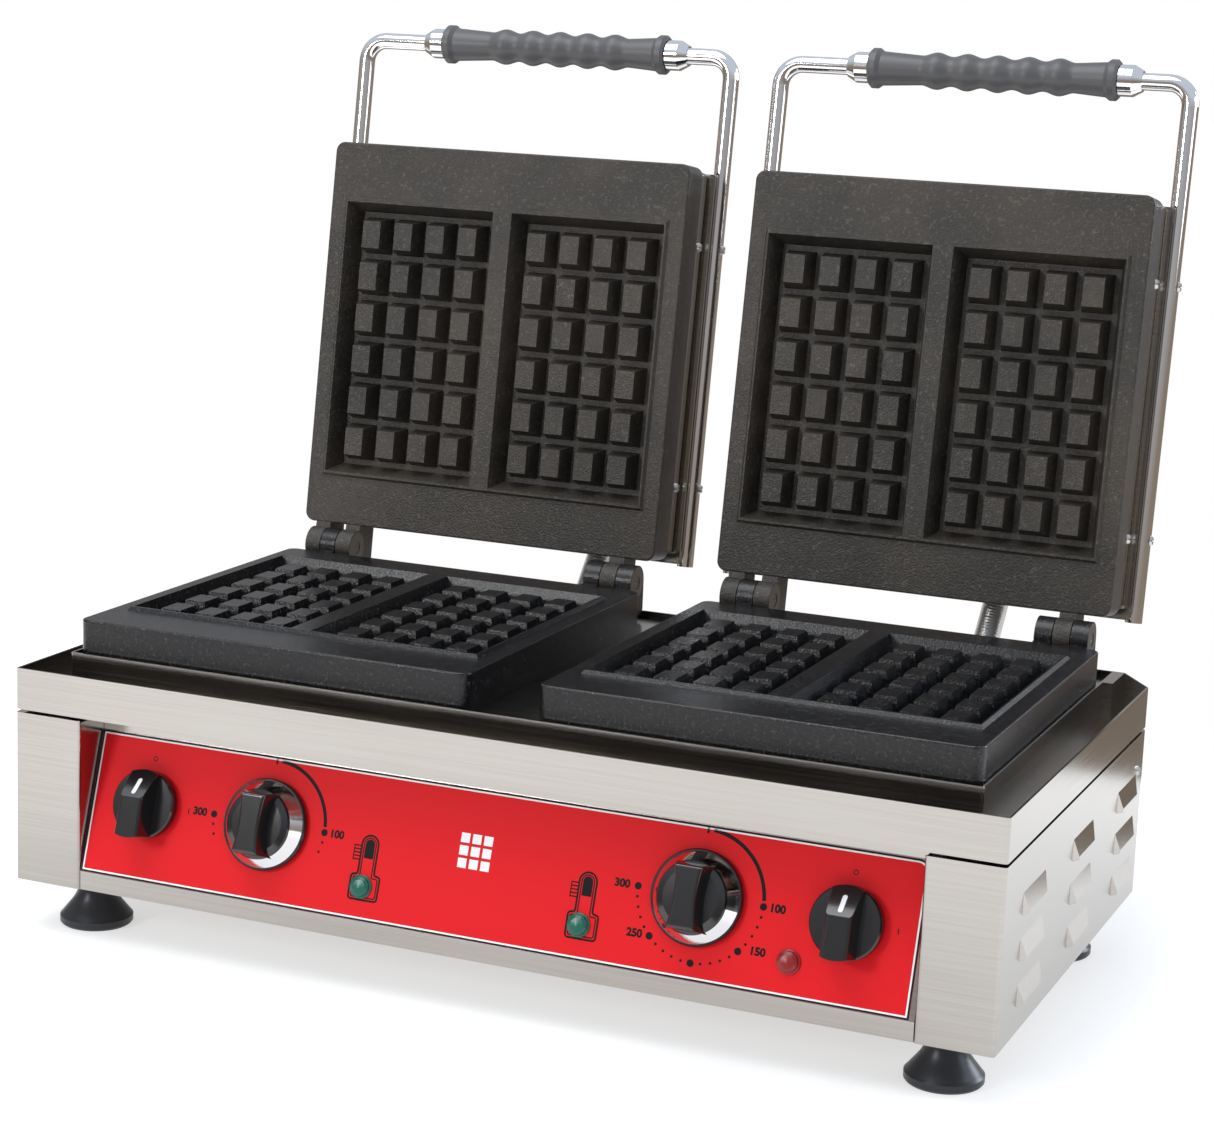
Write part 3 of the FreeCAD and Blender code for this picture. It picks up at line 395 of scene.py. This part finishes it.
def rounded(corners, radius, steps=6):
    """Path through corners.  Each inner corner becomes a parabola that touches both its sides at
    the given distance from the corner."""
    corners = np.asarray(corners, float)
    before = corners[:-2] - corners[1:-1]
    after = corners[2:] - corners[1:-1]
    before /= np.linalg.norm(before, axis=1, keepdims=True)
    after /= np.linalg.norm(after, axis=1, keepdims=True)
    t = np.linspace(0.0, 1.0, steps)[None, :, None]
    pull = radius * ((1 - t) ** 2 * before[:, None] + t**2 * after[:, None])
    bends = (corners[1:-1][:, None] + pull).reshape(-1, 2)
    path = np.concatenate((corners[:1], bends, corners[-1:]))
    return path[:, 0], path[:, 1]


def outline(inset):
    """Film outline moved inwards: three square corners and one round."""
    angle = np.radians(np.linspace(90.0, 0.0, 9))
    radius = FILM_CORNER - inset
    x = np.concatenate(([FILM_LEFT + inset], FILM_RIGHT - FILM_CORNER + radius * np.cos(angle),
                        [FILM_RIGHT - inset, FILM_LEFT + inset]))
    up = np.concatenate(([FILM_TOP - inset], FILM_TOP - FILM_CORNER + radius * np.sin(angle),
                         [FILM_DOWN + inset, FILM_DOWN + inset]))
    return x, up


def printed(name, patches, material, lift=FILM_T + PRINT_LIFT, letters=()):
    """One mesh of flat patches and flat letters, all facing out of the panel."""
    points, faces, start = [], [], 0
    for x, up in patches:
        grid = on_panel(x, up, lift).reshape(-1, 3)
        quads = grid_faces(*x.shape)
        a, b, c = (grid[quads[0, k]] for k in (0, 1, 2))
        if np.dot(np.cross(b - a, c - b), PANEL_OUT) < 0:
            quads = quads[:, ::-1]
        points.append(grid)
        faces += (quads + start).tolist()
        start += len(grid)
    for flat_points, flat_faces in letters:
        points.append(on_panel(flat_points[:, 0], flat_points[:, 1], lift))
        faces += [[corner + start for corner in face] for face in flat_faces]
        start += len(flat_points)
    made = piece(name, np.concatenate(points), faces, material, "base", smooth=False)
    return made


DIGIT_SHARE, BOLD_BY = 0.7, 0.28


def numerals(text, x, up, height):
    """A number as flat mesh points and faces, centred at x and up."""
    curve = bpy.data.curves.new("numerals", "FONT")
    curve.body, curve.size, curve.offset = text, height / DIGIT_SHARE, BOLD_BY
    curve.align_x, curve.align_y = "CENTER", "CENTER"
    holder = bpy.data.objects.new("numerals", curve)
    mesh = bpy.data.meshes.new_from_object(holder)
    flat_points = np.empty(len(mesh.vertices) * 3)
    mesh.vertices.foreach_get("co", flat_points)
    flat_points = flat_points.reshape(-1, 3)[:, :2] + (x, up)
    flat_faces = [list(face.vertices) for face in mesh.polygons]
    bpy.data.meshes.remove(mesh)
    bpy.data.objects.remove(holder)
    bpy.data.curves.remove(curve)
    return flat_points, flat_faces


# %% [markdown]
# Each thermostat has the same dial: a tick at the top for off, a thick arc up to the first
# number, then a large dot every 45 degrees with four small dots between.  The left dial shows
# only the three dots at each end and its first and last numbers.  The rotary switches have a
# small ring for off at the top and a bar for on at the right.  A thermometer stands over each
# green lamp, drawn as two outlines, one inside the other.

# %% The dials and marks
ICON_SHIFT, LAMP_UP = 1.65, -24.1
DIAL_SHIFT, DIAL_R, NUMBER_HEIGHT = (1.0, 0.9), 34.2, 4.0
LARGE_DOT, SMALL_DOT, DOT_STEP = 1.95, 0.75, 9.0
DIAL_NUMBERS = {"100": (90.0, 41.8), "150": (123.5, 41.4), "250": (233.5, 40.4), "300": (270.0, 43.0)}
DIAL_DOTS = {"left": (0, 1, 2, 18, 19, 20), "right": tuple(range(21))}
NUMBERS_SHOWN = {"left": ("100", "300"), "right": tuple(DIAL_NUMBERS)}
TICK_ANGLE, TICK_HALF_W, TICK_HALF_H = -1.5, 0.6, 2.0
ARC_HALF, ARC_FIRST, ARC_LAST = 1.0, 3.5, 85.0
FIRST_DOT, LARGE_EVERY = 90, 45


def on_dial(x, angle, radius):
    """Place at a clock angle and radius from a dial's middle."""
    turn = math.radians(angle)
    return x + DIAL_SHIFT[0] + radius * math.sin(turn), DIAL_SHIFT[1] + radius * math.cos(turn)


def dial(x, dots):
    """Patches of one dial round a thermostat; dots are counted in small steps from the first number."""
    tick_x, tick_up = on_dial(x, TICK_ANGLE, DIAL_R)
    middle = on_dial(x, 0.0, 0.0)
    marks = [
        bar(tick_x - TICK_HALF_W, tick_x + TICK_HALF_W, tick_up - TICK_HALF_H, tick_up + TICK_HALF_H),
        band(*middle, DIAL_R - ARC_HALF, DIAL_R + ARC_HALF, ARC_FIRST, ARC_LAST),
    ]
    for step in dots:
        radius = LARGE_DOT if step * DOT_STEP % LARGE_EVERY == 0 else SMALL_DOT
        marks.append(dot(*on_dial(x, FIRST_DOT + step * DOT_STEP, DIAL_R), radius))
    return marks


def dial_numbers(x, numbers):
    """Letters of one dial."""
    return [numerals(text, *on_dial(x, *DIAL_NUMBERS[text]), NUMBER_HEIGHT) for text in numbers]


OFF_UP, OFF_INNER, OFF_OUTER = 25.5, 0.9, 1.4
ON_NEAR, ON_FAR, ON_HALF = 25.6, 26.2, 1.5


def switch_marks(x):
    """Small ring above and bar at the right of a switch."""
    off = band(x, OFF_UP, OFF_INNER, OFF_OUTER, 0.0, 360.0)
    return [off, bar(x + ON_NEAR, x + ON_FAR, -ON_HALF, ON_HALF)]


TUBE_HALF, TUBE_TOP, NECK, BULB_LOW, BULB_LEFT, BULB_RIGHT = 5.4, 22.7, 6.9, -7.5, -9.1, 9.1
OUTER_LINE, INNER_LINE, LINE_GAP = 1.1, 0.7, 1.9
BULB_ROUND, CORE_HALF, CORE_LOW = 2.2, 2.8, 15.2
TEETH, TOOTH_LOW, TOOTH_STEP, TOOTH_LINE, TOOTH_OUT, TOOTH_IN = 5, 13.8, 1.85, 0.7, 3.6, 0.2
COMB_OUT, COMB_IN = 3.9, 3.3


def thermometer(x, up):
    """Tube with a round top over a square bulb, in two outlines, with a filled core and a comb of marks."""
    marks = []
    for inset, width in ((OUTER_LINE / 2, OUTER_LINE), (LINE_GAP, INNER_LINE)):
        angle = np.radians(np.linspace(-90.0, 90.0, 17))
        half = TUBE_HALF - inset
        top_x, top_up = half * np.sin(angle), TUBE_TOP + half * np.cos(angle)
        corners = [(half, TUBE_TOP), (half, NECK - inset), (BULB_RIGHT - inset, NECK - inset),
                   (BULB_RIGHT - inset, BULB_LOW + inset), (BULB_LEFT + inset, BULB_LOW + inset),
                   (BULB_LEFT + inset, NECK - inset), (-half, NECK - inset), (-half, TUBE_TOP)]
        low_x, low_up = rounded(corners, BULB_ROUND - inset / 2)
        path_x, path_up = np.concatenate((top_x, low_x[1:])), np.concatenate((top_up, low_up[1:]))
        marks.append(ribbon(x + path_x, up + path_up, width))
    marks.append(bar(x - CORE_HALF, x + CORE_HALF, up + CORE_LOW, up + TUBE_TOP))
    marks.append(band(x, up + TUBE_TOP, 0.0, CORE_HALF, -90.0, 90.0))
    wall = x - TUBE_HALF
    for tooth in range(TEETH):
        low = up + TOOTH_LOW + tooth * TOOTH_STEP
        marks.append(bar(wall - TOOTH_OUT, wall + TOOTH_IN, low, low + TOOTH_LINE))
    comb_top = up + TOOTH_LOW + (TEETH - 1) * TOOTH_STEP + TOOTH_LINE
    marks.append(bar(wall - COMB_OUT, wall - COMB_IN, up + TOOTH_LOW, comb_top))
    return marks


def emblem(x, up, size=20.0, squares=3, margin=0.8):
    """A plain waffle pattern: rows of squares, each with the same margin all round."""
    pitch = size / squares
    low = (np.arange(squares) - squares / 2) * pitch
    near, far = low + margin, low + pitch - margin
    return [bar(x + a, x + b, up + c, up + d) for a, b in zip(near, far) for c, d in zip(near, far)]


def frame_line(outer, inner):
    """Closed band between two insets of the film's outline."""
    pair = [np.stack(values) for values in zip(outline(outer), outline(inner))]
    return tuple(np.concatenate((values, values[:, :1]), axis=1) for values in pair)


FILM_MARGIN, EDGE_LINE, WHITE_LINE = 0.05, 1.0, 1.9
EMBLEM_AT = (-6.0, 4.0)
black, letters = [], []
for side in SIDES:
    black += dial(knob_x["thermostat_turn_" + side], DIAL_DOTS[side])
    letters += dial_numbers(knob_x["thermostat_turn_" + side], NUMBERS_SHOWN[side])
    black += switch_marks(knob_x["switch_turn_" + side])
    low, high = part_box("pilot_lamp_" + side)
    black += thermometer((low[0] + high[0]) / 2 / MM + ICON_SHIFT, LAMP_UP)
white = [frame_line(EDGE_LINE, WHITE_LINE)] + emblem(*EMBLEM_AT)
black.append(frame_line(FILM_MARGIN, EDGE_LINE))
white_print = printed("white_print", white, WHITE_PRINT)
black_print = printed("black_print", black, BLACK_PRINT, letters=letters)
print("prints", len(white_print.data.polygons), "and", len(black_print.data.polygons), "faces")

# %% [markdown]
# A round piece is a profile turned about an axis.  The same rule makes the machined faces
# on the hinge knuckles: a flat ring with a small chamfer, turned about the hinge axis.


# %% Turned pieces
def turned(profile, centre, axis, steps=48):
    """Points of a profile of (radius, along) pairs in mm, turned about an axis through a centre."""
    axis = np.asarray(axis, float) / np.linalg.norm(axis)
    side = np.cross(axis, (0.0, 0.0, 1.0))
    side /= np.linalg.norm(side)
    other = np.cross(axis, side)
    angle = np.linspace(0.0, 2 * np.pi, steps, endpoint=False)
    ring = np.cos(angle)[:, None] * side + np.sin(angle)[:, None] * other
    profile = np.asarray(profile, float)
    return np.asarray(centre) + MM * (profile[:, None, :1] * ring[None] + profile[:, None, 1:] * axis)


# %% The hinge faces
KNUCKLE_R, PIN_R, KNUCKLE_W, KNUCKLE_PITCH, KNUCKLE_IN = 10.5, 4.0, 10.0, 10.6, 13.5
FACE_IN_R, FACE_TOP_R, FACE_RIM_R = PIN_R + 0.1, KNUCKLE_R - 0.9, KNUCKLE_R - 0.6
FACE_SUNK, FACE_PROUD = -0.1, 0.04
FACE_PROFILE = [
    (FACE_IN_R, FACE_SUNK), (FACE_IN_R, FACE_PROUD), (FACE_TOP_R, FACE_PROUD), (FACE_RIM_R, FACE_SUNK)
]
for side in SIDES:
    low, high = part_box("lower_plate_" + side)
    hinge = joints["lid_hinge_" + side]["pos_m"]
    for way, body in ((-1, "lid_" + side), (1, "base")):
        edge = high[0] if way > 0 else low[0]
        for outward in (-1, 1):
            inside = KNUCKLE_IN + (1 - way * outward) * KNUCKLE_PITCH
            x = edge - way * MM * inside + outward * MM * KNUCKLE_W / 2
            points = turned(FACE_PROFILE, (x, hinge[1], hinge[2]), (outward, 0.0, 0.0))
            name = f"hinge_face_{side}_{way}_{outward}".replace("-1", "a").replace("1", "b")
            faces = grid_faces(*points.shape[:2], wrap_rows=True, wrap_columns=True)
            made = piece(name, points, faces, MACHINED, body, smooth=False)
    print("hinge faces", side, "centred on y", round(hinge[1], 4), "z", round(hinge[2], 4))

# %% [markdown]
# The conduits are close-wound steel: a wire laid turn against turn.  Round the tube and along
# it the radius follows one rounded ridge per turn, and the ridge climbs by one pitch each time
# round.  The lower end is fixed in the deck and the upper end sits at the mouth on the lid at
# its furthest open turn; the tube is one straight piece that rides on no body.

# %% The wound conduits
CONDUIT_R, WIRE_PITCH, WIRE_DEPTH = 7.5, 1.9, 0.8
MOUTH_AHEAD, MOUTH_ABOVE = 14.5, 36.0
DECK_BACK, DECK_UNDER, CONDUIT_TAIL = 8.0, 24.0, 24.0
TAIL_SHORT, MOUTH_PAST, RINGS_A_TURN = 4.0, 2.0, 6
tray_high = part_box("top_tray")[1]
for side in SIDES:
    joint = joints["lid_hinge_" + side]
    low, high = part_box("conduit_" + side)
    angle = math.radians(joint["range_deg"][1])
    mouth = np.array((
        (low[0] + high[0]) / 2,
        joint["pos_m"][1] + MM * (-MOUTH_AHEAD * math.cos(angle) + MOUTH_ABOVE * math.sin(angle)),
        joint["pos_m"][2] + MM * (MOUTH_AHEAD * math.sin(angle) + MOUTH_ABOVE * math.cos(angle)),
    ))
    foot = np.array((mouth[0], tray_high[1] - MM * DECK_BACK, joint["pos_m"][2] - MM * DECK_UNDER))
    length = np.linalg.norm(mouth - foot) / MM
    run = (mouth - foot) / (MM * length)
    start, end = -CONDUIT_TAIL + TAIL_SHORT, length + MOUTH_PAST
    along = np.linspace(start, end, int((end - start) / WIRE_PITCH * RINGS_A_TURN))[:, None]
    turn = np.linspace(0.0, 2 * np.pi, 32, endpoint=False)[None]
    phase = along / WIRE_PITCH + turn / (2 * np.pi)
    radius = CONDUIT_R - WIRE_DEPTH * (1 - np.abs(np.cos(np.pi * phase)))
    across = np.array((1.0, 0.0, 0.0))
    other = np.cross(run, across)
    points = foot + MM * (
        radius[..., None] * (np.cos(turn)[..., None] * across + np.sin(turn)[..., None] * other)
        + along[..., None] * run
    )
    faces = grid_faces(*points.shape[:2], wrap_columns=True)[:, ::-1]
    wound = piece("wound_conduit_" + side, points, faces, STEEL, None)
    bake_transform(wound)
    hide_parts("conduit_" + side)
    print("conduit", side, "shown length", round(length, 1), "mm")

# %% [markdown]
# Each switch knob has a white pointer on the sloping facet of its bar.  It is a flat strip with
# round ends, a hair above the facet, that starts below the crest and runs down the slope.

# %% The pointers
FACET_TOP, FACET_FOOT = np.array((3.0, 20.2)), np.array((25.0, 3.6))
POINTER_START, POINTER_END, POINTER_HALF, POINTER_LIFT = 2.6, 13.6, 1.25, 0.05
down = (FACET_FOOT - FACET_TOP) / np.linalg.norm(FACET_FOOT - FACET_TOP)
along = np.linspace(POINTER_START, POINTER_END, 45)
from_end = np.minimum(along - POINTER_START, POINTER_END - along)
half = POINTER_HALF * np.sqrt(1 - (1 - np.clip(from_end / POINTER_HALF, 0, 1)) ** 2)
off_facet = POINTER_LIFT * np.array((-down[1], down[0]))[:, None]
up, lift = (FACET_TOP[:, None] + down[:, None] * along) + off_facet
for side in SIDES:
    x = knob_x["switch_turn_" + side] + np.stack((-half, half))
    level = x[..., None] * np.array((1.0, 0.0, 0.0))
    points = PANEL_ZERO + MM * (level + up[None, :, None] * PANEL_UP + lift[None, :, None] * PANEL_OUT)
    faces = grid_faces(2, len(along))
    strip = piece("pointer_" + side, points, faces, WHITE_PRINT, "switch_knob_" + side, smooth=False)
    print("pointer", side, "length", POINTER_END - POINTER_START, "mm")

# %% [markdown]
# The floor is a pale sheet that ends a little behind the object.  It glows more with distance,
# so it runs into the white background without a line.  The light is soft: a large square panel
# overhead, a small one in front, and two cool ones at the right, the stronger like a window
# behind.

# %% Floor and light
GLOW_NEAR, GLOW_FAR = 0.3, 0.6
NEAR_COLOR, FAR_COLOR = (0.55, 0.55, 0.55), (1.0, 1.0, 1.0)
PALE = finish("pale floor", (0.5, 0.5, 0.5), 0.8, Emission_Strength=1.0)
tree = PALE.node_tree
away = tree.nodes.new("ShaderNodeVectorMath")
away.operation = "LENGTH"
tree.links.new(tree.nodes.new("ShaderNodeTexCoord").outputs["Object"], away.inputs[0])
far = remap(tree, away.outputs["Value"], GLOW_NEAR, GLOW_FAR, 0.0, 1.0)
glow = blend_color(tree, far, NEAR_COLOR, FAR_COLOR)
feed(tree, tree.nodes["Principled BSDF"].inputs["Emission Color"], glow)
FLOOR_SIDE, FLOOR_BACK = 1.6, 0.45
corners = np.array([[(x, y, 0.0) for x in (-FLOOR_SIDE, FLOOR_SIDE)] for y in (-FLOOR_SIDE, FLOOR_BACK)])
floor = piece("floor", corners, grid_faces(2, 2), PALE, None)


def softbox(name, place_m, target, size, power, color=(1.0, 1.0, 1.0)):
    """Square area light that faces a target point."""
    lamp = bpy.data.lights.new(name, "AREA")
    lamp.size, lamp.energy, lamp.color = size, power, color
    holder = bpy.data.objects.new(name, lamp)
    back = np.array(place_m) - np.array(target)
    back /= np.linalg.norm(back)
    level = np.cross((0.0, 0.0, 1.0), back)
    level /= np.linalg.norm(level)
    up = np.cross(back, level)
    facing_target = Matrix(np.array((level, up, back)).T.tolist()).to_4x4()
    holder.matrix_world = Matrix.Translation(place_m) @ facing_target
    bpy.context.scene.collection.objects.link(holder)


MIDDLE, COOL = (0.0, 0.0, 0.2), (0.80, 0.88, 1.0)
softbox("overhead light", (-0.5, -0.5, 2.2), MIDDLE, 1.6, 30.0)
softbox("front light", (-1.2, -2.3, 1.15), MIDDLE, 0.5, 18.0)
softbox("right light", (2.2, 0.2, 1.0), MIDDLE, 0.9, 8.0, COOL)
softbox("window light", (1.9, 1.9, 1.1), MIDDLE, 0.9, 30.0, COOL)
print("floor", 2 * FLOOR_SIDE, "m wide and", len(bpy.data.lights), "lights")

# %% [markdown]
# Polished pieces show what stands round them.  The surround is light above and darker and
# warmer near the ground, so chrome and steel get dark as well as light parts, while the
# background itself stays white.

# %% The surround
LOW_COLOR, HIGH_COLOR, BACKGROUND = (0.27, 0.22, 0.175), (0.62, 0.68, 0.76), (1.0, 1.0, 1.0)
WARM_UP_TO, COOL_FROM = 0.03, 0.5
world = bpy.data.worlds.new("studio")
world.use_nodes = True
tree = world.node_tree
direction = tree.nodes.new("ShaderNodeTexCoord")
height = tree.nodes.new("ShaderNodeSeparateXYZ")
tree.links.new(direction.outputs["Generated"], height.inputs[0])
rising = remap(tree, height.outputs["Z"], WARM_UP_TO, COOL_FROM, 0.0, 1.0)
seen = tree.nodes.new("ShaderNodeLightPath")
surround = blend_color(tree, rising, LOW_COLOR, HIGH_COLOR)
shown_color = blend_color(tree, seen.outputs["Is Camera Ray"], surround, BACKGROUND)
tree.links.new(shown_color, tree.nodes["Background"].inputs["Color"])
bpy.context.scene.world = world
bpy.context.scene.view_settings.view_transform = "Standard"
print("surround from", LOW_COLOR, "to", HIGH_COLOR)

# %% [markdown]
# The camera stands in front and to the right, a little higher than the open lids, and looks
# slightly down.  Its place and its three turns are given directly: round, down, and a small
# roll.

# %% Camera
CAMERA_AT = (0.6086, -1.4789, 0.5391)
ROUND, DOWN, ROLL = 0.3959, 0.2049, 0.0387
LENS, SENSOR = 84.9, 36.0
ahead = np.array((-math.sin(ROUND) * math.cos(DOWN), math.cos(ROUND) * math.cos(DOWN), -math.sin(DOWN)))
level = np.array((math.cos(ROUND), math.sin(ROUND), 0.0))
up = np.cross(level, ahead)
rolled = level * math.cos(ROLL) + up * math.sin(ROLL)
upright = up * math.cos(ROLL) - level * math.sin(ROLL)
lens = bpy.data.cameras.new("camera")
lens.lens, lens.sensor_width, lens.sensor_fit = LENS, SENSOR, "HORIZONTAL"
camera = bpy.data.objects.new("camera", lens)
turn = Matrix(np.array((rolled, upright, -ahead)).T.tolist()).to_4x4()
camera.matrix_world = Matrix.Translation(CAMERA_AT) @ turn
bpy.context.scene.collection.objects.link(camera)
bpy.context.scene.camera = camera
print("camera", LENS, "mm lens at", CAMERA_AT)
